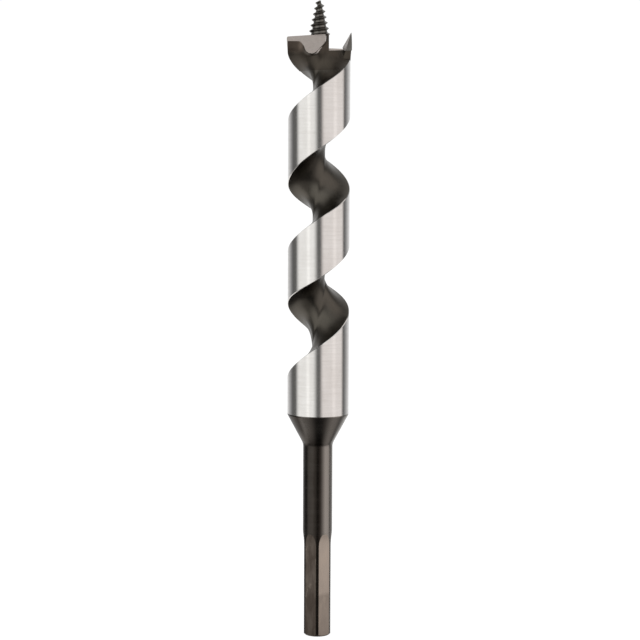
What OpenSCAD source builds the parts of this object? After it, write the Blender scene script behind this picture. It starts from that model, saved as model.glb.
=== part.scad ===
// Auger bit for power drills: screw point, one cutting lip, one side spur, a single
// solid-core twist, a ground collar, a round neck and a hexagonal driving shank.
// Lengths are in millimetres and angles in degrees. Z is the axis with the screw point up.
// The origin is the centre of the shank's end face, and -Y is the front.

/* [Shank] */
// Width of the driving hexagon across its flats
hex_af = 7.94; // [6:0.01:12]
// Diameter that the hexagon's corners are turned to, just under the round shank's
hex_corner_d = 8.7; // [8.4:0.05:8.7]
// Length of the hexagon, from the end face to just above the flats' run-out
hex_len = 31.7; // [22:0.1:45]
// Radius of the milling cutter that leaves the run-out at the top of each flat
hex_cutter_r = 20; // [8:1:40]
// Diameter of the round shank above the hexagon
shank_d = 8.75; // [8.2:0.05:9.1]
// Length of the round shank, up to the fillet of the cone
shank_len = 25.3; // [15:0.1:60]
// Radial width of the chamfer at the shank's end
end_chamfer = 1.2; // [0.3:0.1:2]

/* [Cone and collar] */
// Half angle of the cone between the round shank and the collar
cone_angle = 28.3; // [20:0.1:45]
// Radius of the fillet where the cone meets the round shank
cone_fillet_r = 3.6; // [0.5:0.1:5]
// Radius of the rounded edge where the cone meets the collar
collar_edge_r = 1.2; // [0.2:0.1:3]
// Diameter of the ground collar and of the land of the twist
twist_d = 18.25; // [14:0.05:19]
// Length of the plain collar below the foot of the flute
collar_len = 4.6; // [2:0.1:15]

/* [Twist] */
// Length of the fluted part, from the collar to the head
twist_len = 96.5; // [80:0.5:140]
// Advance of the flute in one turn
flute_pitch = 37.6; // [34:0.1:42]
// Height of the flute's centre above the foot of the head, where it faces the front
flute_lift = 3.92; // [3:0.01:5]
// Height above the collar at which the flute has run out
runout_rise = 4.5; // [4:0.1:12]
// Height over which the flute runs out
runout_len = 9.35; // [6:0.05:20]
// Diameter of the solid core at the bottom of the flute
core_d = 3.6; // [2.4:0.1:5]
// Angle from the flute's centre to its lower edge, at the collar
lower_half_foot = 88; // [80:0.5:92]
// Angle from the flute's centre to its lower edge, at the head
lower_half_head = 85.5; // [80:0.5:92]
// Angle from the flute's centre to its upper edge
upper_half = 103; // [96:0.1:110]

/* [Head] */
// Diameter that the head cuts
head_d = 19.05; // [18.3:0.05:20]
// Height of the head, from the top of the twist to the lip at the axis
head_len = 10.3; // [9.6:0.1:12]
// Length of the plain land below the flare of the head
flare_start = 2.8; // [1:0.1:4]
// Distance of the lip's rake face in front of the axis
rake_offset = 2.2; // [1.6:0.1:2.4]
// Rise of the lip from its outer end towards the axis
lip_rise = 3.9; // [0:0.1:8]
// Clearance angle behind the lip
lip_clearance = 8; // [4:0.5:12]
// Thickness of the outer end of the lip
lip_thickness = 1.3; // [1:0.1:2.2]
// Width of the ground throat under the outer end of the lip
throat_w = 5; // [3:0.1:5]
// Radius of the corner of that throat
throat_corner_r = 1.7; // [0.5:0.1:3]
// Slope of the throat wall from the horizontal
throat_slope = 60; // [50:1:70]
// Radius of the rounded root under the lip, as the rake face cuts it
lip_root_r = 3.3; // [3:0.1:4.5]
// Distance of the root's centre from the axis, towards the lip
lip_root_x = 1.6; // [1.5:0.1:3]
// Depth of the root's centre below the lip at the axis
lip_root_depth = 2; // [1:0.1:2]
// Depth of the root's centre behind the rake face
lip_root_back = 1.5; // [0.5:0.1:2]

/* [Slot and spur] */
// Distance from the axis to the inner wall of the chip slot
slot_wall = 2.8; // [2.4:0.1:3.2]
// Depth of the slot's floor below the lip, level with the axis
slot_depth = 5; // [4:0.1:5.5]
// Slope of the slot's floor, down to the front
slot_floor_tilt = 7; // [0:0.5:16]
// Height of the spur's tip above the lip at the axis
spur_rise = 0.75; // [0.4:0.05:1.5]
// Thickness of the spur's root
spur_root_t = 2.7; // [2:0.1:3.2]
// Width of the flat that is left on the spur's tip
spur_tip_t = 0.15; // [0.1:0.05:0.4]
// Distance of the spur's leading face behind the axis
spur_lead = 1.6; // [0.5:0.1:3]
// Angle of the spur's inner bevel from the axis
spur_bevel = 26; // [20:1:32]
// Turn of that bevel towards the trailing side
spur_skew = 32; // [10:1:35]
// Slope of the spur's trailing face from the axis
spur_relief = 24; // [20:1:40]

/* [Screw point] */
// Height of the screw point above the lip at the axis
point_len = 9.95; // [8:0.05:14]
// Pitch of the screw point
point_pitch = 1.63; // [1.2:0.01:2.4]
// Diameter over the thread at the foot of the screw point
point_crest_d = 6.1; // [4.5:0.1:7]
// Diameter over the thread at the tip
point_tip_d = 2.1; // [1.4:0.1:3]
// Depth of the thread
thread_depth = 0.75; // [0.4:0.05:1]

/* [Hidden] */

overrun = 1;
hex_sides = 6;
fine = 96;
arc_steps = 8;
turn = 360;
quarter = turn / 4;

shank_r = shank_d / 2;
corner_r = hex_corner_d / 2;
twist_r = twist_d / 2;
core_r = core_d / 2;
head_r = head_d / 2;

// Plain length above the flats' run-out, up to the end of the hexagon's stock
runout_land = 0.5;

// Levels along the axis, each stacked on the one below
fillet_w = cone_fillet_r * (1 - cos(cone_angle));
edge_w = collar_edge_r * (1 - cos(cone_angle));
cone_run = (twist_r - edge_w - shank_r - fillet_w) / tan(cone_angle);
cone_len = cone_run + (cone_fillet_r + collar_edge_r) * sin(cone_angle);
shank_z = hex_len;
cone_z = shank_z + shank_len;
collar_z = cone_z + cone_len;
twist_z = collar_z + collar_len;
head_z = twist_z + twist_len;
lip_z = head_z + head_len;
point_z = lip_z + point_len;

// Flute: its centre faces the front at this level, and again one pitch lower each turn
flute_front_z = head_z + flute_lift;
// Exponents of the flute's two walls, which make the lower one round and the upper one square
lower_power_share = 2.84;
lower_round_share = 1.79;
upper_power_share = 2.45;
upper_round_share = 2.9;
flute_steps = 9;
flight_step = 9;
columns_per_turn = turn / flight_step;
// Share of its width that the flute keeps past its run-out, where it has no depth
closed_share = 0.05;

// The core swells into a post under the screw point, narrowest level with the slot's floor
post_r = slot_wall;
post_waist_share = 0.75;
spur_tip_z = lip_z + spur_rise;
// The lip parts from the head beside the post and below its root
lip_split_x = post_r * post_waist_share;
split_depth = 0.15;
lip_split_z = lip_z - lip_root_depth - lip_root_r - split_depth;

// Screw point
point_steps = 24;
thread_root_share = 0.45;
point_taper = (point_crest_d - point_tip_d) / 2 / point_len;
// Level of the crest at the right-hand side, above the lip at the axis
crest_lift = point_pitch / 6;

// A solid whose surface winds round the axis once per turn, from columns of points.
// column_z and column_r give the level and radius of row k of the column at angle a.
module wound_solid(from, cols, per_turn, rows, apex, column_r, column_z) {
    step = turn / per_turn;
    function at(c, k) =
        let (a = from + c * step, r = column_r(a, k))
        [r * cos(a), r * sin(a), column_z(a, k)];
    function id(c, k) =
        k == rows ? id(c + per_turn, 0)
        : c <= cols ? c * rows + k : (cols + 1) * rows + c - cols - 1;
    low_apex = (cols + 1) * rows + per_turn;
    high_apex = low_apex + 1;
    points = concat(
        [for (c = [0:cols], k = [0:rows - 1]) at(c, k)],
        [for (c = [cols + 1:cols + per_turn]) at(c, 0)],
        [[0, 0, column_z(from, 0) - apex],
         [0, 0, column_z(from + (cols + per_turn) * step, 0) + apex]]);
    skin = [for (c = [0:cols - 1], k = [0:rows - 1]) each
        [[id(c, k), id(c, k + 1), id(c + 1, k + 1)],
         [id(c, k), id(c + 1, k + 1), id(c + 1, k)]]];
    low_cap = concat(
        [for (c = [0:per_turn - 1]) [id(c, 0), id(c + 1, 0), low_apex]],
        [for (k = [0:rows - 1]) [id(0, k + 1), id(0, k), low_apex]]);
    high_cap = concat(
        [for (c = [cols - per_turn:cols - 1]) [id(c + 1, rows), id(c, rows), high_apex]],
        [for (k = [0:rows - 1]) [id(cols, k), id(cols, k + 1), high_apex]]);
    polyhedron(points, concat(skin, low_cap, high_cap), convexity = 10);
}

// Depth of the flute as a share of the whole, at share u of the way from centre to edge
function wall_share(u, power, round) =
    u >= 1 ? 0 : pow(1 - pow(u, power), 1 / round);

// How far the cutter has lifted at level z, as a share of the flute's depth
function lift_share(z) =
    let (t = min(1, max(0, (twist_z + runout_rise + runout_len - z) / runout_len)))
    t * t * (3 - 2 * t);

// Share of the flute's half width that is left when the cutter has lifted
function width_share(lift, power, round) =
    max(closed_share, pow(1 - pow(min(1, lift), round), 1 / power));

// The twist's flight, with the outer radius given, true between two levels.
// Its first and last columns have no flute, so that its ends close under and over them.
module flight(outer_r, low_z, high_z) {
    lead = flute_pitch / turn;
    first = flight_step * floor(((low_z - flute_front_z) / lead - quarter - turn) / flight_step);
    top = (high_z - flute_front_z) / lead - quarter + lower_half_head;
    cols = ceil((top - first) / flight_step) + 1;
    last = first + cols * flight_step;
    rows = 2 * flute_steps + 1;
    centre_z = function (a) flute_front_z + (a + quarter) * lead;
    lift = function (a)
        a < first + flight_step / 2 || a > last - flight_step / 2 ? 1 : lift_share(centre_z(a));
    lower_half = function (a)
        let (t = min(1, max(0, (centre_z(a) - twist_z) / twist_len)))
        lower_half_foot + (lower_half_head - lower_half_foot) * t;
    // Rows run up the lower wall to the centre, then up the upper wall to the edge
    row_share = function (k) sin(quarter * abs(k - flute_steps) / flute_steps);
    column_z = function (a, k)
        k < flute_steps
        ? centre_z(a) - row_share(k) * lower_half(a) * lead
            * width_share(lift(a), lower_power_share, lower_round_share)
        : centre_z(a) + row_share(k) * upper_half * lead
            * width_share(lift(a), upper_power_share, upper_round_share);
    column_r = function (a, k)
        let (power = k < flute_steps ? lower_power_share : upper_power_share,
             round = k < flute_steps ? lower_round_share : upper_round_share,
             u = row_share(k) * width_share(lift(a), power, round),
             depth_share = wall_share(u, power, round) - lift(a))
        k == 0 || k == 2 * flute_steps || depth_share <= 0
        ? outer_r : twist_r - (twist_r - core_r) * depth_share;
    wound_solid(first, cols, columns_per_turn, rows, twist_d, column_r, column_z);
}

// Everything above the plane that carries the lip, which rises to the axis
module above_lip() {
    size = point_len + head_d;
    translate([0, -rake_offset, lip_z])
        rotate([-lip_clearance, -lip_rise, 0])
            translate([-size, -size, 0])
                cube(2 * size);
}

// Everything above the slot's sloping floor, outside the slot's inner wall
module above_floor() {
    size = 2 * head_d;
    intersection() {
        translate([0, 0, lip_z - slot_depth])
            rotate([slot_floor_tilt, 0, 0])
                translate([-size, -size, 0])
                    cube(2 * size);
        translate([slot_wall, -size, 0])
            cube([size, 2 * size, point_z + size]);
    }
}

// The spur and its root: the rim of the head, ground on the inside and on the trailing side
// by two planes that meet at the tip
module spur_blank() {
    tip_x = sqrt(pow(head_r - spur_tip_t, 2) - spur_lead * spur_lead);
    size = 2 * head_d;
    difference() {
        intersection() {
            translate([0, 0, head_z])
                cylinder(h = spur_tip_z - head_z, r = head_r, $fn = fine);
            translate([head_r - spur_root_t, spur_lead - head_r, head_z])
                cube([head_r, head_r, spur_tip_z - head_z]);
        }
        translate([tip_x, spur_lead, spur_tip_z])
            rotate([0, 0, spur_skew])
                rotate([0, spur_bevel, 0])
                    translate([-size, -size / 2, -size / 2])
                        cube(size);
        translate([tip_x, spur_lead, spur_tip_z])
            rotate([-spur_relief, 0, 0])
                translate([-size / 2, -size, -size / 2])
                    cube(size);
    }
}

// Outline of the head: it flares from the twist to its full cutting diameter
module head_envelope() {
    flare_z = head_z + flare_start;
    flare_top = lip_z - lip_thickness;
    translate([0, 0, head_z])
        cylinder(h = flare_start, r = twist_r, $fn = fine);
    translate([0, 0, flare_z])
        cylinder(h = flare_top - flare_z, r1 = twist_r, r2 = head_r, $fn = fine);
    translate([0, 0, flare_top])
        cylinder(h = lip_thickness + head_d, r = head_r, $fn = fine);
}

// The core swells from the flute's bottom into a post under the screw point
module post() {
    waist_r = post_r * post_waist_share;
    waist_z = lip_z - slot_depth;
    translate([0, 0, head_z])
        cylinder(h = waist_z - head_z, r1 = core_r, r2 = waist_r, $fn = fine / 3);
    translate([0, 0, waist_z])
        cylinder(h = slot_depth + overrun, r1 = waist_r, r2 = post_r, $fn = fine / 3);
}

// Rounded root under the lip, where the flute was milled round the post
module lip_root() {
    ball_r = sqrt(lip_root_r * lip_root_r + lip_root_back * lip_root_back);
    translate([-lip_root_x, lip_root_back - rake_offset, lip_z - lip_root_depth])
        sphere(ball_r, $fn = fine / 3);
}

// Throat ground under the outer end of the lip, with a rounded inner corner
module lip_throat() {
    outer = head_r + overrun;
    inner = head_r - throat_w;
    translate([0, -rake_offset, lip_z - head_r * sin(lip_rise) - lip_thickness])
        rotate([-quarter - throat_slope, 0, 0])
            translate([0, 0, -head_r])
                linear_extrude(head_d)
                    hull() {
                        translate([-outer, 0])
                            square([overrun, head_r]);
                        translate([-inner - throat_corner_r, throat_corner_r])
                            circle(throat_corner_r, $fn = fine / 3);
                        translate([-outer, head_r - overrun])
                            square([outer - inner, overrun]);
                    }
}

// Head before it is divided: flight, post, roots and rim, cut by the rake face and the slot
module head_stock() {
    difference() {
        intersection() {
            union() {
                flight(head_r + overrun, head_z, spur_tip_z);
                post();
                lip_root();
                spur_blank();
            }
            head_envelope();
        }
        above_lip();
        above_floor();
        translate([-head_r - overrun, -head_r - overrun, lip_split_z - split_depth])
            cube([head_r + overrun + slot_wall, head_r + overrun - rake_offset, head_len]);
        lip_throat();
    }
}

// The block that parts the lip from the rest of the head
module lip_block() {
    translate([-head_d, -head_d, lip_split_z])
        cube([head_d - lip_split_x, 2 * head_d, head_len]);
}

// Tool that mills one flat: a long box with the round end of the cutter above it
module flat_cutter() {
    flat_r = hex_af / 2;
    depth = corner_r - flat_r;
    runout = sqrt(hex_cutter_r * hex_cutter_r - pow(hex_cutter_r - depth, 2));
    flat_len = hex_len - runout_land - runout;
    translate([flat_r, -shank_d, -overrun])
        cube([hex_cutter_r, 2 * shank_d, flat_len + overrun]);
    translate([flat_r + hex_cutter_r, 0, flat_len])
        rotate([quarter, 0, 0])
            cylinder(h = 2 * shank_d, r = hex_cutter_r, center = true, $fn = fine);
}

// The turned end: the chamfer is slightly domed, on a sphere centred on the axis
module end_dome() {
    intersection() {
        cylinder(h = end_chamfer, r = shank_d, $fn = fine);
        translate([0, 0, corner_r])
            sphere(r = norm([corner_r, corner_r - end_chamfer]), $fn = fine);
    }
}

// The turned bar that the hexagon is milled from, with a bevel up to the round shank
module hex_bar() {
    bevel = runout_land / 2;
    end_dome();
    translate([0, 0, end_chamfer])
        cylinder(h = hex_len - bevel - end_chamfer, r = corner_r, $fn = fine);
    translate([0, 0, hex_len - bevel])
        cylinder(h = bevel, r1 = corner_r, r2 = shank_r, $fn = fine);
}

module hex_shank() {
    color([0.36, 0.33, 0.30])
        difference() {
            hex_bar();
            for (i = [0:hex_sides - 1])
                rotate([0, 0, i * turn / hex_sides])
                    flat_cutter();
        }
}

module round_shank() {
    color([0.25, 0.24, 0.22])
        translate([0, 0, shank_z])
            cylinder(h = shank_len, r = shank_r, $fn = fine);
}

module neck_cone() {
    fillet = [for (i = [0:arc_steps])
        let (t = 2 * quarter - i * cone_angle / arc_steps)
        [shank_r + cone_fillet_r * (1 + cos(t)), cone_z + cone_fillet_r * sin(t)]];
    edge = [for (i = [0:arc_steps])
        let (t = (i / arc_steps - 1) * cone_angle)
        [twist_r + collar_edge_r * (cos(t) - 1), collar_z + collar_edge_r * sin(t)]];
    color([0.16, 0.15, 0.14])
        rotate_extrude($fn = fine)
            polygon(concat([[0, cone_z]], fillet, edge, [[0, collar_z]]));
}

module collar() {
    color([0.80, 0.78, 0.76])
        translate([0, 0, collar_z])
            cylinder(h = collar_len, r = twist_r, $fn = fine);
}

module flute_twist() {
    color([0.74, 0.72, 0.70])
        intersection() {
            flight(twist_r, twist_z, head_z);
            translate([-twist_r - overrun, -twist_r - overrun, twist_z])
                cube([twist_d + 2 * overrun, twist_d + 2 * overrun, twist_len]);
        }
}

module cutting_head() {
    color([0.22, 0.20, 0.18])
        difference() {
            head_stock();
            lip_block();
        }
}

module cutting_lip() {
    color([0.62, 0.57, 0.55])
        intersection() {
            head_stock();
            lip_block();
        }
}

module side_spur() {
    color([0.66, 0.62, 0.60])
        intersection() {
            spur_blank();
            above_floor();
        }
}

module lead_screw() {
    // Levels of the thread's root, crest and root again, as shares of its pitch
    row_shares = [0, (1 - thread_root_share) / 2, 1 - thread_root_share];
    first_z = lip_z + crest_lift - (row_shares[1] + 2) * point_pitch;
    cols = ceil(point_len / point_pitch + 2) * point_steps;
    column_z = function (a, k) first_z + (a / turn + row_shares[k]) * point_pitch;
    column_r = function (a, k)
        point_crest_d / 2 - (column_z(a, k) - lip_z) * point_taper - (k == 1 ? 0 : thread_depth);
    color([0.20, 0.19, 0.17])
        intersection() {
            wound_solid(0, cols, point_steps, len(row_shares), point_crest_d, column_r, column_z);
            above_lip();
            cylinder(h = point_z, r = point_crest_d);
        }
}

hex_shank();
round_shank();
neck_cone();
collar();
flute_twist();
cutting_head();
cutting_lip();
side_spur();
lead_screw();
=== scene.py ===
"""Looks of a single-flute auger bit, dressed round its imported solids."""

import logging
import math
from dataclasses import dataclass
from enum import Enum
from typing import Callable, Iterable, Sequence, Union

import bmesh
import bpy
import numpy as np
from mathutils import Matrix, Vector


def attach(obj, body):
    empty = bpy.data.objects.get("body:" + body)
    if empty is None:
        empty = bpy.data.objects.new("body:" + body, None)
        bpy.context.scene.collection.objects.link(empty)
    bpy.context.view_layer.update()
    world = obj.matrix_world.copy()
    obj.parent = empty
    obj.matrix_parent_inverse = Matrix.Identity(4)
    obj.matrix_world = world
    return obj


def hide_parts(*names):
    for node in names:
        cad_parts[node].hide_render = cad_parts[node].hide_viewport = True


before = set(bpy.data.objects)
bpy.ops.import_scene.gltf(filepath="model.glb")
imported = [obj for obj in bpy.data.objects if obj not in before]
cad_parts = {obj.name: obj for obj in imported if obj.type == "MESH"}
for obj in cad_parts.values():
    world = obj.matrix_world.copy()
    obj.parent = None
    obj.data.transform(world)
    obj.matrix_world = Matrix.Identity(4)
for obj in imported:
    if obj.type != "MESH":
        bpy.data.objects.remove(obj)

LOG = logging.getLogger("auger_bit")
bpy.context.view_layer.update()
MM = 0.001
FRONT_ANGLE = -90.0
FULL_TURN = 360.0
HALF_TURN = 180.0
# Distances in millimetres: between points that are one, of a plane's cut, and from a plane
WELD = 1e-4
CUT_REACH = 1e-6
ON_PLANE = 1e-3
# Numbers of sides of the turned bar, of the collar and the head's outline, and of the post
BAR_STEPS = 192
RIM_STEPS = 240
POST_STEPS = 96
Number = Union["Field", float]


class Cut(Enum):
    """How one solid works on another."""

    JOIN = "UNION"
    REMOVE = "DIFFERENCE"
    KEEP_COMMON = "INTERSECT"


class Zone(Enum):
    """Kinds of surface on the bit, with the place of their finish on a piece."""

    GROUND = 0
    QUENCHED = 1
    WHETTED = 2
    # Bright ground bevel on the spur, and a painted highlight rim behind the rake face
    BRIGHT_BEVEL_AND_PAINTED_RIM = 3
    FLOOR = 4
    SPUR = 5


@dataclass(frozen=True)
class BitSizes:
    """Sizes of the bit in millimetres and degrees, equal or close to those of its solids."""

    hex_af: float = 7.94
    hex_len: float = 31.7
    hex_corner_r: float = 4.35
    runout_land: float = 0.5
    hex_cutter_r: float = 20.0
    hex_sides: int = 6
    shank_r: float = 4.375
    shank_len: float = 25.3
    end_chamfer: float = 0.65
    cone_angle: float = 28.3
    cone_fillet_r: float = 3.6
    collar_edge_r: float = 1.2
    twist_r: float = 9.125
    collar_len: float = 4.6
    twist_len: float = 96.5
    pitch: float = 37.6
    flute_lift: float = 3.92
    core_r: float = 1.8
    lower_half_foot: float = 88.0
    lower_half_head: float = 85.5
    upper_half: float = 103.0
    lower_power: float = 2.6
    lower_round: float = 1.6
    upper_power: float = 2.45
    upper_round: float = 2.9
    runout_rise: float = 4.5
    runout_len: float = 6.8
    closed_share: float = 0.05
    edge_bevel: float = 0.16
    head_r: float = 9.525
    head_len: float = 10.3
    flare_start: float = 2.8
    rake_offset: float = 2.2
    lip_rise: float = 3.9
    lip_clearance: float = 8.0
    lip_thickness: float = 1.3
    throat_w: float = 5.15
    throat_corner_r: float = 1.6
    throat_slope: float = 60.0
    heel_r: float = 3.0
    heel_x: float = 1.2
    heel_depth: float = 0.9
    toe_r: float = 2.1
    toe_x: float = 2.3
    toe_depth: float = 3.4
    lip_root_back: float = 1.5
    slot_wall: float = 2.8
    slot_depth: float = 4.45
    slot_floor_tilt: float = 7.0
    post_waist_share: float = 0.75
    split_step: float = 0.15
    spur_rise: float = 0.75
    spur_root_t: float = 2.7
    spur_tip_t: float = 0.15
    spur_lead: float = 1.6
    spur_bevel: float = 26.0
    spur_skew: float = 32.0
    spur_relief: float = 24.0
    point_len: float = 9.95
    point_pitch: float = 1.63
    point_crest_r: float = 3.25
    point_tip_r: float = 1.12
    thread_depth: float = 0.75

    @property
    def cone_z(self) -> float:
        """Level of the foot of the cone's fillet."""
        return self.hex_len + self.shank_len

    @property
    def collar_z(self) -> float:
        """Level where the cone's rounded edge meets the collar."""
        angle = math.radians(self.cone_angle)
        curled = 1 - math.cos(angle)
        rise = self.twist_r - self.shank_r - (self.collar_edge_r + self.cone_fillet_r) * curled
        return (self.cone_z + rise / math.tan(angle)
                + (self.cone_fillet_r + self.collar_edge_r) * math.sin(angle))

    @property
    def twist_z(self) -> float:
        """Level of the foot of the twist."""
        return self.collar_z + self.collar_len

    @property
    def head_z(self) -> float:
        """Level of the foot of the head."""
        return self.twist_z + self.twist_len

    @property
    def lip_z(self) -> float:
        """Level of the lip at the axis."""
        return self.head_z + self.head_len

    @property
    def spur_tip_z(self) -> float:
        """Level of the spur's tip."""
        return self.lip_z + self.spur_rise

    @property
    def point_z(self) -> float:
        """Level of the tip of the screw point."""
        return self.lip_z + self.point_len

    @property
    def flute_front_z(self) -> float:
        """Level at which the flute's centre last faces the front."""
        return self.head_z + self.flute_lift

    @property
    def lead(self) -> float:
        """Advance of the flute in one degree."""
        return self.pitch / FULL_TURN


SIZES = BitSizes()

# How far the flute's upper and lower edges stray from a true helix and how much its lower wall
# is hollowed, in millimetres, at each quarter turn down from where its centre last faces the front
EDGE_DRIFT = ((0.0, 0.0, 0.4), (0.0, -0.3, 0.9), (0.1, -0.7, 0.7), (0.3, -1.1, 0.6),
              (0.0, -0.3, 0.8), (-1.0, -0.8, 1.2), (-0.5, -0.3, 0.2), (0.0, 0.6, -0.9),
              (0.0, 0.0, 0.0), (1.3, -0.6, 1.0), (0.5, 0.0, 0.0))


class Field:
    """A number that a node tree works out point by point."""

    def __init__(self, tree: bpy.types.NodeTree, socket: bpy.types.NodeSocket) -> None:
        """Keeps the tree and the socket that gives the number."""
        self.tree = tree
        self.socket = socket

    def calc(self, operation: str, *values: Number) -> "Field":
        """Adds one arithmetic node.

        Args:
            operation: Name of the arithmetic step.
            values: Its operands in order.

        Returns:
            The result as a new field.
        """
        node = self.tree.nodes.new("ShaderNodeMath")
        node.operation = operation
        for slot, value in zip(node.inputs, values):
            if isinstance(value, Field):
                self.tree.links.new(value.socket, slot)
            else:
                slot.default_value = float(value)
        return Field(self.tree, node.outputs[0])

    def __add__(self, other: Number) -> "Field":
        """Sum."""
        return self.calc("ADD", self, other)

    __radd__ = __add__

    def __sub__(self, other: Number) -> "Field":
        """Difference."""
        return self.calc("SUBTRACT", self, other)

    def __rsub__(self, other: Number) -> "Field":
        """Difference from a plain number."""
        return self.calc("SUBTRACT", other, self)

    def __mul__(self, other: Number) -> "Field":
        """Product."""
        return self.calc("MULTIPLY", self, other)

    __rmul__ = __mul__

    def __truediv__(self, other: Number) -> "Field":
        """Quotient."""
        return self.calc("DIVIDE", self, other)

    def __rtruediv__(self, other: Number) -> "Field":
        """Plain number over the field."""
        return self.calc("DIVIDE", other, self)

    def power(self, other: Number) -> "Field":
        """Power."""
        return self.calc("POWER", self, other)

    def least(self, other: Number) -> "Field":
        """Smaller of two."""
        return self.calc("MINIMUM", self, other)

    def most(self, other: Number) -> "Field":
        """Larger of two."""
        return self.calc("MAXIMUM", self, other)

    def size(self) -> "Field":
        """Value without its sign."""
        return self.calc("ABSOLUTE", self)

    def above(self, other: Number) -> "Field":
        """One where the field is larger, else zero."""
        return self.calc("GREATER_THAN", self, other)

    def clamped(self) -> "Field":
        """Value held between zero and one."""
        return self.least(1.0).most(0.0)

    def eased(self) -> "Field":
        """Value held between zero and one with soft ends."""
        held = self.clamped()
        return held * held * (3.0 - 2.0 * held)

    def mixed(self, other: Number, share: "Field") -> "Field":
        """Value moved towards another by a share."""
        return self + (other - self) * share

    def ramp(self, start: Number, width: float) -> "Field":
        """Soft step from zero to one.

        Args:
            start: Value at which it leaves zero.
            width: Distance to where it reaches one, below zero for a step downwards.

        Returns:
            The step as a new field.
        """
        return ((self - start) / width).eased()

    def swing(self, weight: float) -> "Field":
        """Swing of a noise about its middle, times a weight."""
        return (self - 0.5) * weight


@dataclass(frozen=True)
class Waves:
    """A noise on a piece's own coordinates.

    Attributes:
        scale: Waves per metre along each axis.
        detail: Number of finer layers.
        rough: Weight of those layers.
        warp: Twist of the pattern.
        shift: Offset of the pattern.
    """

    scale: tuple[float, float, float]
    detail: float = 3.0
    rough: float = 0.6
    warp: float = 0.0
    shift: tuple[float, float, float] = (0.0, 0.0, 0.0)


class Sketch:
    """Shorthand for making one node tree."""

    def __init__(self, tree: bpy.types.NodeTree) -> None:
        """Keeps the tree."""
        self.tree = tree

    def node(self, kind: str, feeds: dict | None = None, **settings: object) -> bpy.types.Node:
        """Adds a node.

        Args:
            kind: Its type.
            feeds: What goes into its sockets, by name or number.
            settings: Its own settings.

        Returns:
            The node.
        """
        made = self.tree.nodes.new(kind)
        for name, value in settings.items():
            setattr(made, name, value)
        for key, value in (feeds or {}).items():
            self.feed(made.inputs[key], value)
        return made

    def feed(self, socket: bpy.types.NodeSocket, value: object) -> None:
        """Links a field or socket to a socket, or sets its plain value."""
        if isinstance(value, Field):
            value = value.socket
        if isinstance(value, bpy.types.NodeSocket):
            self.tree.links.new(value, socket)
        else:
            socket.default_value = value

    def field(self, socket: bpy.types.NodeSocket) -> Field:
        """A socket as a field."""
        return Field(self.tree, socket)

    def parts(self, vector: bpy.types.NodeSocket) -> tuple[Field, Field, Field]:
        """The three numbers of a vector."""
        split = self.node("ShaderNodeSeparateXYZ", {0: vector})
        return tuple(self.field(socket) for socket in split.outputs)

    def noise(self, waves: Waves) -> Field:
        """A noise, whose middle is about 0.5."""
        place = self.node("ShaderNodeTexCoord").outputs["Object"]
        mapped = self.node("ShaderNodeMapping", {
            "Vector": place, "Scale": waves.scale, "Location": waves.shift})
        noise = self.node("ShaderNodeTexNoise", {
            "Vector": mapped.outputs[0], "Scale": 1.0, "Detail": waves.detail,
            "Roughness": waves.rough, "Distortion": waves.warp})
        return self.field(noise.outputs[0])

    def blend(self, low: object, high: object, share: Field) -> bpy.types.NodeSocket:
        """Mix of two colours by a share."""
        mix = self.node("ShaderNodeMix", data_type="RGBA")
        self.feed(mix.inputs["Factor"], share)
        self.feed(mix.inputs[6], low)
        self.feed(mix.inputs[7], high)
        return mix.outputs[2]


def rgba(red: float, green: float, blue: float) -> tuple[float, float, float, float]:
    """An opaque colour."""
    return (red, green, blue, 1.0)


def open_material(name: str) -> tuple[bpy.types.Material, Sketch, bpy.types.Node]:
    """Starts a material.

    Args:
        name: Its name.

    Returns:
        The material, its sketch and its shader node.
    """
    material = bpy.data.materials.new(name)
    material.use_nodes = True
    return material, Sketch(material.node_tree), material.node_tree.nodes["Principled BSDF"]


def close_material(sketch: Sketch, shader: bpy.types.Node, colour: bpy.types.NodeSocket,
                   roughness: Field, height: Field, bump: tuple[float, float]) -> None:
    """Feeds a metal's shader.

    Args:
        sketch: Sketch of the material.
        shader: Its shader node.
        colour: Base colour.
        roughness: Roughness.
        height: Height of the fine relief, from zero to one.
        bump: Strength of the relief and its depth in metres.
    """
    strength, depth = bump
    relief = sketch.node("ShaderNodeBump", {"Strength": strength, "Distance": depth, "Height": height})
    for name, value in (("Base Color", colour), ("Roughness", roughness), ("Metallic", 1.0),
                        ("Normal", relief.outputs[0])):
        sketch.feed(shader.inputs[name], value)


@dataclass(frozen=True)
class GroundSteel:
    """Cylindrically ground bright steel: fine lines run round the axis."""

    name: str = "ground_steel"
    bright: tuple = rgba(0.87, 0.855, 0.845)
    dull: tuple = rgba(0.72, 0.690, 0.668)
    coarse: Waves = Waves((90.0, 90.0, 1700.0), 2.0)
    fine: Waves = Waves((140.0, 140.0, 5200.0), 3.0, 0.65)
    clouds: Waves = Waves((160.0, 160.0, 70.0), 4.0)
    coarse_share: float = 0.45
    tone_base: float = 0.32
    line_tone: float = 1.5
    cloud_tone: float = 1.2
    roughness: float = 0.15
    line_roughness: float = 0.30
    cloud_roughness: float = 0.12
    least_roughness: float = 0.07
    bump: tuple = (0.5, 0.000004)

    def build(self) -> bpy.types.Material:
        """Makes the material."""
        material, sketch, shader = open_material(self.name)
        cloud = sketch.noise(self.clouds)
        lines = (sketch.noise(self.coarse) * self.coarse_share
                 + sketch.noise(self.fine) * (1.0 - self.coarse_share))
        tone = (lines.swing(self.line_tone) + cloud.swing(self.cloud_tone) + self.tone_base).clamped()
        roughness = (lines.swing(self.line_roughness) + cloud.swing(self.cloud_roughness)
                     + self.roughness).most(self.least_roughness)
        colour = sketch.blend(self.bright, self.dull, tone)
        close_material(sketch, shader, colour, roughness, lines, self.bump)
        return material


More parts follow.
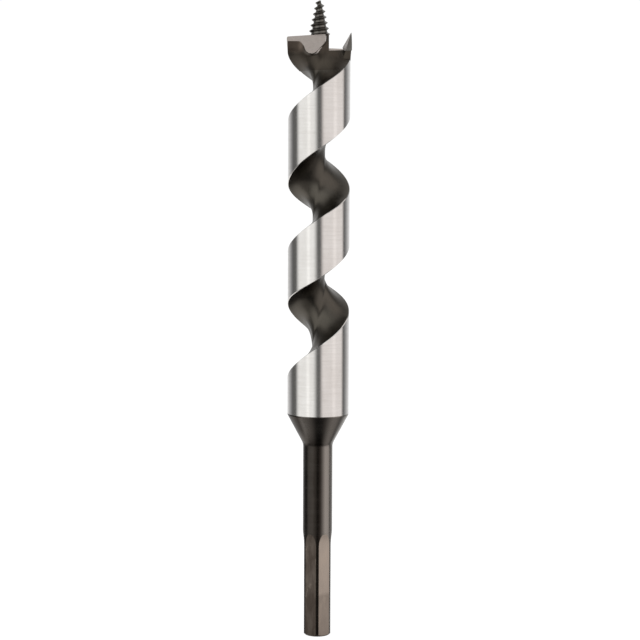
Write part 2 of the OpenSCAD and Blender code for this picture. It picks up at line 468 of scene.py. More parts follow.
@dataclass(frozen=True)
class QuenchedSteel:
    """Hardened steel with a dark brown-black skin, satin where the cutter has run.

    Levels and distances along the bit are in millimetres. A side is a place across the bit, from
    minus one at its left rim to one at its right, as the front view shows it. Some finishes paint
    light and shade into the skin by side and level, as set below.

    Attributes:
        name: Name of the material.
        dark: Colour of the skin.
        light: Colour where it is thin.
        stain: Colour of the random stains, also used for the painted light patch on the right of the
            shank and for the lighter brown under the lip.
        stain_share: How much of the stain shows.
        right_side_painted_light: How much more of the stain colour the right side gets, as painted
            light.
        stain_from: Noise above which a stain begins.
        stain_gain: How sharply it begins.
        roughness: Mean roughness.
        streak_roughness: How much it changes with the streaks.
        cloud_roughness: How much it changes with the clouds.
        least_roughness: Its lower bound.
        streaks: Noise of the streaks.
        clouds: Noise of the clouds.
        grain: Noise of the fine relief.
        patches: Noise of the stains.
        grain_share: Weight of the grain in the relief, beside the streaks.
        bump: Strength of the relief and its depth in metres.
        streak_share: Weight of the streaks in the skin's colour.
        cloud_share: Weight of the clouds in it.
        tone_base: Lightness of the skin all over.
        side_from: Side at which the painted light on the right begins.
        side_width: Width of its soft edge.
        painted_light_right: How much painted light the right side gets.
        front_share: Share of the shank's radius over which that painted light fades in towards the
            front.
        left_from: Side at which the painted light on the left begins.
        left_width: Width of its soft edge.
        painted_light_left: How much painted light the left side gets.
        painted_cone_light: How much more painted light the cone gets than the shank.
        cone_reach: Height over which the cone's painted light begins.
        painted_cone_base_light: Painted light on the cone all over.
        cone_shift: How far its painted light on the right is moved.
        painted_shade_rim_from: Side at which the painted shade along the cone's left rim begins.
        edge_width: Width over which that painted shade comes in.
        painted_light_foot_drop: How much less of the painted light on the right the foot of the shank
            gets.
        low_level: Level of the top of that foot.
        low_width: Height of its soft edge.
        lip_brown_share: How much of the stain colour the head shows under its lip, towards its outer
            left end.
        lip_brown_depth: How far below the lip that colour begins.
        lip_brown_rise: Height of its soft edge.
        lip_brown_from: Distance to the left of the axis at which it begins.
        lip_brown_width: Width of its soft edge.
        painted_patch_share: How strongly the painted light patch on the right of the shank shows.
        patch_level: Level of its middle.
        patch_reach: Half of its height.
    """

    name: str = "quenched_steel_painted_light"
    dark: tuple = rgba(0.060, 0.053, 0.047)
    light: tuple = rgba(0.135, 0.118, 0.102)
    stain: tuple = rgba(0.30, 0.245, 0.20)
    stain_share: float = 0.35
    right_side_painted_light: float = 0.0
    stain_from: float = 0.56
    stain_gain: float = 5.0
    roughness: float = 0.36
    streak_roughness: float = 0.18
    cloud_roughness: float = 0.22
    least_roughness: float = 0.18
    streaks: Waves = Waves((1500.0, 1500.0, 160.0))
    clouds: Waves = Waves((260.0, 260.0, 110.0), 4.0, 0.6, 0.4)
    grain: Waves = Waves((4200.0, 4200.0, 4200.0), 2.0, 0.5)
    patches: Waves = Waves((330.0, 330.0, 120.0), 5.0, 0.7, 0.8, (3.1, 1.7, 0.4))
    grain_share: float = 0.6
    bump: tuple = (0.35, 0.00001)
    streak_share: float = 0.5
    cloud_share: float = 0.8
    tone_base: float = 0.42
    side_from: float = 0.0
    side_width: float = 1.0
    painted_light_right: float = 0.0
    front_share: float = 0.45
    left_from: float = -0.12
    left_width: float = 0.32
    painted_light_left: float = 0.0
    painted_cone_light: float = 0.0
    cone_reach: float = 6.0
    painted_cone_base_light: float = 0.0
    cone_shift: float = 0.02
    painted_shade_rim_from: float = -0.5
    edge_width: float = 0.2
    painted_light_foot_drop: float = 0.0
    low_level: float = 12.9
    low_width: float = 1.6
    lip_brown_share: float = 0.0
    lip_brown_depth: float = 5.8
    lip_brown_rise: float = 2.4
    lip_brown_from: float = 4.2
    lip_brown_width: float = 1.8
    painted_patch_share: float = 0.0
    patch_level: float = 24.5
    patch_reach: float = 3.0

    @staticmethod
    def side(place: tuple[Field, Field, Field]) -> Field:
        """Side of a place on the shank or the cone."""
        across, forward, _ = place
        return across / (across * across + forward * forward).power(0.5).most(SIZES.shank_r * MM)

    def painted_light_tone(self, place: tuple[Field, Field, Field]) -> Field:
        """Tone of the skin all over, plus painted light and shade by where a place lies: painted light
        on the right towards the front, on the left and on the cone, painted shade along the cone's left
        rim, and less of the painted light on the right at the shank's foot.
        """
        _, forward, level = place
        side = self.side(place)
        climb = level.ramp(SIZES.cone_z * MM, self.cone_reach * MM)
        cone = climb * self.painted_cone_light
        low = level.ramp((self.low_level + self.low_width / 2) * MM, -self.low_width * MM)
        front = forward.ramp(0.0, -self.front_share * SIZES.shank_r * MM)
        # Painted light on the right side towards the front, on the left side and on the cone; painted
        # shade along the cone's left rim
        right = side.ramp(cone * self.cone_shift + self.side_from, self.side_width) * self.painted_light_right
        left = side.ramp(self.left_from, -self.left_width) * (cone + 1.0) * self.painted_light_left
        rim = side.ramp(self.painted_shade_rim_from, -self.edge_width) * climb
        left = (left + cone * self.painted_cone_base_light) * (1.0 - rim)
        return right * front * (1.0 - low * self.painted_light_foot_drop) + left + self.tone_base

    def stains_and_painted_light(self, sketch: Sketch, place: tuple[Field, Field, Field]) -> Field:
        """Share of the stain colour: random stains, plus painted light towards the right side and in a
        patch on the right of the shank, and a lighter brown under the lip's outer left end.
        """
        across, _, level = place
        side = self.side(place)
        patch = sketch.noise(self.patches)
        off = (level - self.patch_level * MM) / (self.patch_reach * MM)
        # Painted light: a tan patch on the right side of the shank around patch_level, and more of the
        # stain colour towards the right
        painted_patch = (1.0 - off * off).most(0.0) * side.clamped() * self.painted_patch_share
        stains_and_painted_patch = ((patch - self.stain_from) * self.stain_gain + side * self.right_side_painted_light + painted_patch).clamped()
        # Lighter brown of the stain colour under the lip's outer left end
        under_lip = level.ramp((SIZES.lip_z - self.lip_brown_depth) * MM, self.lip_brown_rise * MM)
        outer = across.ramp(-self.lip_brown_from * MM, -self.lip_brown_width * MM)
        return (stains_and_painted_patch * self.stain_share).most(under_lip * outer * self.lip_brown_share)

    def build(self) -> bpy.types.Material:
        """Makes the material."""
        material, sketch, shader = open_material(self.name)
        streak = sketch.noise(self.streaks)
        cloud = sketch.noise(self.clouds)
        place = sketch.parts(sketch.node("ShaderNodeTexCoord").outputs["Object"])
        # Random streaks and clouds, plus the painted light and shade by side, cone and foot
        tone = (streak.swing(2.0 * self.streak_share) + cloud.swing(2.0 * self.cloud_share)
                + self.painted_light_tone(place)).clamped()
        colour = sketch.blend(sketch.blend(self.dark, self.light, tone), self.stain,
                              self.stains_and_painted_light(sketch, place))
        roughness = (streak.swing(self.streak_roughness) + cloud.swing(self.cloud_roughness)
                     + self.roughness).most(self.least_roughness)
        height = sketch.noise(self.grain) * self.grain_share + streak * (1.0 - self.grain_share)
        close_material(sketch, shader, colour, roughness, height, self.bump)
        return material


@dataclass(frozen=True)
class WhettedSteel:
    """Steel ground by hand to an edge: fine matt scratches one way."""

    name: str = "whetted_steel"
    bright: tuple = rgba(0.77, 0.710, 0.670)
    dull: tuple = rgba(0.59, 0.530, 0.495)
    scratches: Waves = Waves((900.0, 900.0, 5200.0), 3.0, 0.65)
    clouds: Waves = Waves((420.0, 420.0, 420.0), 4.0, 0.6, 0.5)
    tone_base: float = 0.35
    scratch_tone: float = 1.3
    cloud_tone: float = 1.8
    roughness: float = 0.42
    scratch_roughness: float = 0.25
    cloud_roughness: float = 0.15
    least_roughness: float = 0.2
    bump: tuple = (0.5, 0.000008)

    def build(self) -> bpy.types.Material:
        """Makes the material."""
        material, sketch, shader = open_material(self.name)
        scratch = sketch.noise(self.scratches)
        cloud = sketch.noise(self.clouds)
        tone = (scratch.swing(self.scratch_tone) + cloud.swing(self.cloud_tone)
                + self.tone_base).clamped()
        roughness = (scratch.swing(self.scratch_roughness) + cloud.swing(self.cloud_roughness)
                     + self.roughness).most(self.least_roughness)
        colour = sketch.blend(self.bright, self.dull, tone)
        close_material(sketch, shader, colour, roughness, scratch, self.bump)
        return material


def show(name: str, mesh: bpy.types.Mesh) -> bpy.types.Object:
    """Puts a mesh in the scene as an object at the origin."""
    piece = bpy.data.objects.new(name, mesh)
    bpy.context.scene.collection.objects.link(piece)
    return piece


def settle(piece: bpy.types.Object) -> None:
    """Turns a piece with its modifiers into a plain mesh."""
    bpy.context.view_layer.update()
    graph = bpy.context.evaluated_depsgraph_get()
    mesh = bpy.data.meshes.new_from_object(
        piece.evaluated_get(graph), preserve_all_data_layers=True, depsgraph=graph)
    old = piece.data
    piece.modifiers.clear()
    piece.data = mesh
    bpy.data.meshes.remove(old)


def shaped(name: str, form: bmesh.types.BMesh) -> bpy.types.Object:
    """Makes an object of a form, with its faces outwards."""
    bmesh.ops.recalc_face_normals(form, faces=form.faces)
    mesh = bpy.data.meshes.new(name)
    form.to_mesh(mesh)
    form.free()
    return show(name, mesh)


def combine(piece: bpy.types.Object, tool: bpy.types.Object, cut: Cut, keep: bool = False) -> None:
    """Works one closed solid on another.

    Args:
        piece: Solid that is changed.
        tool: Solid that changes it.
        cut: How it does.
        keep: Whether the tool is used again.
    """
    step = piece.modifiers.new("cut", "BOOLEAN")
    step.operation = cut.value
    step.object = tool
    step.solver = "MANIFOLD"
    settle(piece)
    if not keep:
        bpy.data.objects.remove(tool, do_unlink=True)


def block(low: Sequence[float], high: Sequence[float],
          place: Matrix | None = None) -> bpy.types.Object:
    """A box between two corners, moved as a matrix says."""
    form = bmesh.new()
    middle = (Vector(low) + Vector(high)) / 2
    spread = [b - a for a, b in zip(low, high)]
    matrix = Matrix.Translation(middle) @ Matrix.Diagonal((*spread, 1.0))
    bmesh.ops.create_cube(form, size=1.0, matrix=(place or Matrix()) @ matrix)
    return shaped("block", form)


def turned(profile: Sequence[tuple[float, float]], steps: int = BAR_STEPS) -> bpy.types.Object:
    """A closed solid of revolution about the axis.

    Args:
        profile: Radius and level of each point, from the axis up and back to it.
        steps: Number of sides.

    Returns:
        The solid as an object.
    """
    form = bmesh.new()
    rings = []
    for radius, level in profile:
        if radius == 0:
            rings.append([form.verts.new((0.0, 0.0, level))])
            continue
        angles = [math.tau * i / steps for i in range(steps)]
        rings.append([form.verts.new((radius * math.cos(a), radius * math.sin(a), level))
                      for a in angles])
    for low, high in zip(rings, rings[1:]):
        for i in range(steps):
            loop = [low[i % len(low)], low[(i + 1) % len(low)],
                    high[(i + 1) % len(high)], high[i % len(high)]]
            corners = list(dict.fromkeys(loop))
            if len(corners) > 2:
                form.faces.new(corners)
    return shaped("turned", form)


def prism(near: Sequence[Sequence[float]], far: Sequence[Sequence[float]],
          place: Matrix) -> bpy.types.Object:
    """A closed solid between two like outlines, moved as a matrix says."""
    form = bmesh.new()
    first, second = ([form.verts.new(point) for point in outline] for outline in (near, far))
    form.faces.new(first)
    form.faces.new(second[::-1])
    for i in range(len(first)):
        j = (i + 1) % len(first)
        form.faces.new((first[i], second[i], second[j], first[j]))
    form.transform(place)
    return shaped("prism", form)


def tilt(x: float = 0.0, y: float = 0.0, z: float = 0.0) -> Matrix:
    """Turns about X, then Y, then Z, in degrees."""
    return (Matrix.Rotation(math.radians(z), 4, "Z") @ Matrix.Rotation(math.radians(y), 4, "Y")
            @ Matrix.Rotation(math.radians(x), 4, "X"))


def move(x: float, y: float, z: float) -> Matrix:
    """A shift."""
    return Matrix.Translation((x, y, z))


def between_levels(piece: bpy.types.Object, low: float, high: float) -> None:
    """Cuts a wound surface at two levels and closes its ends."""
    form = bmesh.new()
    form.from_mesh(piece.data)
    bmesh.ops.remove_doubles(form, verts=form.verts, dist=WELD)
    for level, upward in ((low, -1.0), (high, 1.0)):
        parts = form.verts[:] + form.edges[:] + form.faces[:]
        bmesh.ops.bisect_plane(form, geom=parts, dist=CUT_REACH, plane_co=(0, 0, level),
                               plane_no=(0, 0, upward), clear_outer=True)
        rim = [edge for edge in form.edges if edge.is_boundary
               and all(abs(vert.co.z - level) < ON_PLANE for vert in edge.verts)]
        filled = bmesh.ops.holes_fill(form, edges=rim, sides=0)["faces"]
        bmesh.ops.triangulate(form, faces=filled, ngon_method="EAR_CLIP")
    bmesh.ops.recalc_face_normals(form, faces=form.faces)
    form.to_mesh(piece.data)
    form.free()


def dress(piece: bpy.types.Object, name: str, node: str,
          finishes: Iterable[bpy.types.Material],
          zone_of: Callable[[Vector, Vector], Zone] | None = None,
          sharp: float = 22.0) -> bpy.types.Object:
    """Finishes a piece, hangs it on the root body and hides the solid that it stands for.

    Args:
        piece: The piece, in millimetres.
        name: Its name.
        node: The solid that it stands for.
        finishes: Its materials, in the order of the zones.
        zone_of: Gives the zone of a face from its middle and its normal, if it has several.
        sharp: Angle in degrees above which an edge stays sharp.

    Returns:
        The piece.
    """
    mesh = piece.data
    mesh.materials.clear()
    for finish in finishes:
        mesh.materials.append(finish)
    if zone_of:
        for face in mesh.polygons:
            face.material_index = zone_of(face.center, face.normal).value
    mesh.transform(Matrix.Scale(MM, 4))
    mesh.shade_smooth()
    mesh.set_sharp_from_angle(angle=math.radians(sharp))
    mesh.update()
    piece.name = name
    mesh.name = name
    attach(piece, "root")
    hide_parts(node)
    LOG.info("%s: %d faces", name, len(mesh.polygons))
    return piece


class WoundTree:
    """A geometry tree that winds a flat grid round the axis by a rule."""

    def __init__(self, name: str, sizes: dict[str, float]) -> None:
        """Starts the tree with its named inputs.

        Args:
            name: Name of the tree.
            sizes: Named inputs with their values.
        """
        self.tree = bpy.data.node_groups.new(name, "GeometryNodeTree")
        self.sketch = Sketch(self.tree)
        self.values: dict[str, object] = dict(sizes)
        self.tree.interface.new_socket("Grid", in_out="INPUT", socket_type="NodeSocketGeometry")
        for size in sizes:
            self.tree.interface.new_socket(size, in_out="INPUT", socket_type="NodeSocketFloat")
        for finish in ("Rim Finish", "Wall Finish"):
            self.tree.interface.new_socket(finish, in_out="INPUT", socket_type="NodeSocketMaterial")
        self.tree.interface.new_socket("Solid", in_out="OUTPUT", socket_type="NodeSocketGeometry")
        self.source = self.sketch.node("NodeGroupInput")

    def given(self, name: str) -> Field:
        """A named input as a field."""
        return self.sketch.field(self.source.outputs[name])

    def mark(self, name: str) -> Field:
        """A number stored on the grid's points."""
        node = self.sketch.node("GeometryNodeInputNamedAttribute", {"Name": name}, data_type="FLOAT")
        return self.sketch.field(node.outputs["Attribute"])

    def close(self, radius: Field, angle: Field, level: Field) -> None:
        """Places the points, joins the turns and gives the two finishes."""
        sketch = self.sketch
        turn = angle * (math.pi / HALF_TURN)
        across = radius * turn.calc("COSINE", turn)
        along = radius * turn.calc("SINE", turn)
        place = sketch.node("ShaderNodeCombineXYZ", {0: across, 1: along, 2: level})
        wound = sketch.node("GeometryNodeSetPosition", {
            "Geometry": self.source.outputs["Grid"], "Position": place.outputs[0]})
        joined = sketch.node("GeometryNodeMergeByDistance", {
            "Geometry": wound.outputs[0], "Distance": WELD})
        real = sketch.node("GeometryNodeRealizeInstances", {"Geometry": joined.outputs[0]})
        rim = sketch.node("GeometryNodeSetMaterial", {
            "Geometry": real.outputs[0], "Material": self.source.outputs["Rim Finish"]})
        wall = sketch.node("GeometryNodeInputNamedAttribute", {"Name": "wall"}, data_type="BOOLEAN")
        both = sketch.node("GeometryNodeSetMaterial", {
            "Geometry": rim.outputs[0], "Selection": wall.outputs["Attribute"],
            "Material": self.source.outputs["Wall Finish"]})
        sketch.node("NodeGroupOutput", {0: both.outputs[0]})

    def wind(self, grid: bpy.types.Object, rim: bpy.types.Material, wall: bpy.types.Material) -> None:
        """Runs the tree on a grid and keeps the result as a plain mesh."""
        values = dict(self.values, **{"Rim Finish": rim, "Wall Finish": wall})
        step = grid.modifiers.new("wind", "NODES")
        step.node_group = self.tree
        for item in self.tree.interface.items_tree:
            if item.in_out == "INPUT" and item.name in values:
                step[item.identifier] = values[item.name]
        settle(grid)


def marked_grid(name: str, angles: np.ndarray, rows: Sequence[dict[str, float]]) -> bpy.types.Object:
    """A flat grid whose points carry the marks that a tree winds it by.

    Args:
        name: Name of the grid.
        angles: Angle of each column in degrees.
        rows: Marks of each row; turns adds whole turns, and wall marks the strip above the row.

    Returns:
        The grid as an object.
    """
    across = len(rows)
    marks = {key: np.tile([row[key] for row in rows], len(angles)) for key in rows[0]}
    points = np.zeros((len(angles) * across, 3))
    points[:, 0] = np.repeat(np.arange(len(angles)), across)
    points[:, 1] = np.tile(np.arange(across), len(angles))
    faces, walls = [], []
    for column in range(len(angles) - 1):
        for row in range(across - 1):
            corner = column * across + row
            faces.append((corner, corner + across, corner + across + 1, corner + 1))
            walls.append(rows[row]["wall"] > 0)
    mesh = bpy.data.meshes.new(name)
    mesh.from_pydata(points.tolist(), [], faces)
    marks["angle"] = np.repeat(angles, across) + marks.pop("turns") * FULL_TURN
    marks.pop("wall")
    for key, values in marks.items():
        layer = mesh.attributes.new(key, "FLOAT", "POINT")
        layer.data.foreach_set("value", np.asarray(values, dtype=np.float32))
    layer = mesh.attributes.new("wall", "BOOLEAN", "FACE")
    layer.data.foreach_set("value", np.asarray(walls, dtype=bool))
    return show(name, mesh)


@dataclass
class Flight:
    """The helical flight with its single flute."""

    outer_r: float
    low: float
    high: float
    bevel: float = 0.0
    step: float = 2.0
    wall_rows: int = 26

    @staticmethod
    def drift(centre: Field, edge: int) -> Field:
        """One of the flute's strays where its centre has a level.

        Args:
            centre: Level of the flute's centre.
            edge: Zero for the upper edge, one for the lower, two for the lower wall's hollow.

        Returns:
            The stray, which eases from each quarter turn to the next.
        """
        quarter = SIZES.pitch / 4
        total = centre * 0.0
        for count, strays in enumerate(EDGE_DRIFT):
            near = 1.0 - (centre - (SIZES.flute_front_z - count * quarter)).size() / quarter
            total = total + near.eased() * strays[edge]
        return total

    def tree(self) -> WoundTree:
        """Makes the rule of the flight as a geometry tree."""
        wound = WoundTree("flight_rule", {
            "Lead": SIZES.lead, "Front Level": SIZES.flute_front_z, "Outer Radius": self.outer_r,
            "Land Radius": SIZES.twist_r, "Core Radius": SIZES.core_r,
            "Lower Half At Foot": SIZES.lower_half_foot, "Lower Half At Head": SIZES.lower_half_head,
            "Upper Half": SIZES.upper_half, "Foot Level": SIZES.twist_z,
            "Fluted Length": SIZES.twist_len, "Run-out Rise": SIZES.runout_rise,
            "Run-out Length": SIZES.runout_len, "Edge Bevel": self.bevel})
        given, angle, across = wound.given, wound.mark("angle"), wound.mark("across")
        centre = given("Front Level") + (angle - FRONT_ANGLE) * given("Lead")
        clear = given("Foot Level") + given("Run-out Rise") + given("Run-out Length")
        lift = ((clear - centre) / given("Run-out Length")).eased()
        climb = ((centre - given("Foot Level")) / given("Fluted Length")).clamped()
        lower_half = given("Lower Half At Foot").mixed(given("Lower Half At Head"), climb)
        upper = across.above(0.0)
        half = lower_half.mixed(given("Upper Half"), upper)
        power = SIZES.lower_power + upper * (SIZES.upper_power - SIZES.lower_power)
        round_off = SIZES.lower_round + upper * (SIZES.upper_round - SIZES.lower_round)
        width = (1.0 - lift.power(round_off)).most(0.0).power(1.0 / power).most(SIZES.closed_share)
        share = across.size() * width
        depth = ((1.0 - share.power(power)).most(0.0).power(1.0 / round_off) - lift).most(0.0)
        bevel = given("Edge Bevel") * (1.0 - lift)
        wall_r = given("Land Radius") - (given("Land Radius") - given("Core Radius")) * depth
        rim_r = given("Outer Radius") - wound.mark("inset") * bevel
        reach = across.size()
        stray = self.drift(centre, 1).mixed(self.drift(centre, 0), upper) * reach * width
        # The share times its rest times four is one half way across the wall
        hollow = self.drift(centre, 2) * reach * (1.0 - reach) * (1.0 - upper) * 4.0
        stray = stray - hollow * (1.0 - lift)
        level = centre + across * half * given("Lead") * width + wound.mark("shift") * bevel + stray
        wound.close(wall_r.mixed(rim_r, wound.mark("rim")), angle, level)
        return wound

    def build(self, name: str, rim: bpy.types.Material, wall: bpy.types.Material) -> bpy.types.Object:
        """Winds the flight and cuts it to its two levels.

        Args:
            name: Name of the piece.
            rim: Finish of the land.
            wall: Finish of the flute.

        Returns:
            The flight as an object in millimetres.
        """
        count = self.wall_rows
        rows = []
        for k in range(-count, count + 1):
            edge = float(abs(k) == count)
            share = math.copysign(math.sin(math.pi / 2 * abs(k) / count), k)
            rows.append({"across": share, "rim": edge, "inset": edge, "shift": 0.0,
                         "turns": 0.0, "wall": float(k < count)})
        for across, inset, shift, turns in ((1.0, 0.0, 1.0, 0.0), (-1.0, 0.0, -1.0, 1.0),
                                            (-1.0, 1.0, 0.0, 1.0)):
            rows.append({"across": across, "rim": 1.0, "inset": inset, "shift": shift,
                         "turns": turns, "wall": 0.0})
        first = (self.low - SIZES.flute_front_z) / SIZES.lead + FRONT_ANGLE - FULL_TURN
        last = (self.high - SIZES.flute_front_z) / SIZES.lead + FRONT_ANGLE + SIZES.lower_half_head
        columns = math.ceil((last - math.floor(first)) / self.step) + 1
        angles = math.floor(first) + self.step * np.arange(columns + 1)
        piece = marked_grid(name, angles, rows)
        self.tree().wind(piece, rim, wall)
        between_levels(piece, self.low, self.high)
        return piece


@dataclass(frozen=True)
class Shank:
    """The driving end: hexagon, round shank, cone and collar."""

    dark: bpy.types.Material
    bright: bpy.types.Material
    flats: bpy.types.Material
    dome_steps: int = 8
    runout_steps: int = 40
    cone_steps: int = 24
    runout_spare: float = 0.4
    cutter_spare: float = 2.0
    edge_width: float = 0.07
    edge_angle: float = 15.0
    skin_depth: float = 0.05

    def flat_cutter(self, side: int) -> bpy.types.Object:
        """The space that the cutter clears for one flat with its run-out."""
        rim, radius = SIZES.hex_corner_r, SIZES.hex_cutter_r
        flat_r = SIZES.hex_af / 2
        runout = math.sqrt(radius ** 2 - (radius - rim + flat_r) ** 2)
        flat_len = SIZES.hex_len - SIZES.runout_land - runout
        profile = [(flat_r, -1.0)]
        for i in range(self.runout_steps + 1):
            rise = (runout + self.runout_spare) * i / self.runout_steps
            profile.append((flat_r + radius - math.sqrt(radius ** 2 - rise ** 2), flat_len + rise))
        outer = rim + self.cutter_spare
        profile += [(outer, profile[-1][1]), (outer, -1.0)]
        near, far = ([(x, y, z) for x, z in profile] for y in (-rim, rim))
        return prism(near, far, tilt(z=side * FULL_TURN / SIZES.hex_sides))

    def hexagon(self) -> bpy.types.Object:
        """Mills six flats with rounded run-outs on a bar with a domed end chamfer."""
        rim = SIZES.hex_corner_r
        dome_r = math.hypot(rim, rim - SIZES.end_chamfer)
        rises = [SIZES.end_chamfer * i / self.dome_steps for i in range(self.dome_steps + 1)]
        dome = [(math.sqrt(dome_r ** 2 - (rim - rise) ** 2), rise) for rise in rises]
        bar = turned([(0, 0), *dome, (rim, SIZES.hex_len - SIZES.runout_land / 2),
                      (SIZES.shank_r, SIZES.hex_len), (0, SIZES.hex_len)])
        for side in range(SIZES.hex_sides):
            combine(bar, self.flat_cutter(side), Cut.REMOVE)
        bevel = bar.modifiers.new("edges", "BEVEL")
        bevel.width = self.edge_width
        bevel.segments = 2
        bevel.limit_method = "ANGLE"
        bevel.angle_limit = math.radians(self.edge_angle)
        settle(bar)
        return dress(bar, "hexagon", "hex_shank", [self.flats, self.dark],
                     self.hex_zone, sharp=30.0)

    def hex_zone(self, middle: Vector, normal: Vector) -> Zone:
        """Zone of a face of the hexagon, whose corners keep the skin of the turned bar."""
        turned_skin = middle.to_2d().length > SIZES.hex_corner_r - self.skin_depth
        return Zone.QUENCHED if turned_skin else Zone.GROUND

    def neck(self) -> bpy.types.Object:
        """Turns the plain round shank."""
        bar = turned([(0, SIZES.hex_len), (SIZES.shank_r, SIZES.hex_len),
                      (SIZES.shank_r, SIZES.cone_z), (0, SIZES.cone_z)])
        return dress(bar, "plain_shank", "round_shank", [self.dark])

    def cone(self) -> bpy.types.Object:
        """Turns the cone with its fillet and its rounded upper edge."""
        steps, angle = self.cone_steps, math.radians(SIZES.cone_angle)
        fillet = [(SIZES.shank_r + SIZES.cone_fillet_r * (1 - math.cos(angle * i / steps)),
                   SIZES.cone_z + SIZES.cone_fillet_r * math.sin(angle * i / steps))
                  for i in range(steps + 1)]
        edge = [(SIZES.twist_r + SIZES.collar_edge_r * (math.cos(angle * (1 - i / steps)) - 1),
                 SIZES.collar_z - SIZES.collar_edge_r * math.sin(angle * (1 - i / steps)))
                for i in range(steps + 1)]
        cone = turned([(0, SIZES.cone_z), *fillet, *edge, (0, SIZES.collar_z)])
        return dress(cone, "cone_neck", "neck_cone", [self.dark])

    def collar(self) -> bpy.types.Object:
        """Turns the ground collar."""
        ring = turned([(0, SIZES.collar_z), (SIZES.twist_r, SIZES.collar_z),
                       (SIZES.twist_r, SIZES.twist_z), (0, SIZES.twist_z)], RIM_STEPS)
        return dress(ring, "ground_collar", "collar", [self.bright])

    def build(self) -> None:
        """Makes the four pieces."""
        self.hexagon()
        self.neck()
        self.cone()
        self.collar()


@dataclass(frozen=True)
class Twist:
    """The fluted length between the collar and the head."""

    bright: bpy.types.Material
    dark: bpy.types.Material

    def build(self) -> bpy.types.Object:
        """Winds the twist, with a fine bevel along both edges of its land."""
        flight = Flight(SIZES.twist_r, SIZES.twist_z, SIZES.head_z, SIZES.edge_bevel)
        piece = flight.build("twist", self.bright, self.dark)
        for face in piece.data.polygons:
            radii = [piece.data.vertices[i].co.to_2d().length for i in face.vertices]
            if min(radii) > SIZES.twist_r - ON_PLANE:
                face.material_index = 0
        dark_at = list(piece.data.materials).index(self.dark)
        kept = [int(face.material_index == dark_at) for face in piece.data.polygons]
        dress(piece, "fluted_twist", "flute_twist", [self.bright, self.dark])
        piece.data.polygons.foreach_set("material_index", kept)
        return piece


def lip_side() -> bpy.types.Object:
    """Everything above the plane that carries the lip."""
    size = SIZES.point_len + 2 * SIZES.head_r
    place = move(0, -SIZES.rake_offset, SIZES.lip_z) @ tilt(-SIZES.lip_clearance, -SIZES.lip_rise)
    return block((-size, -size, 0), (size, size, 2 * size), place)


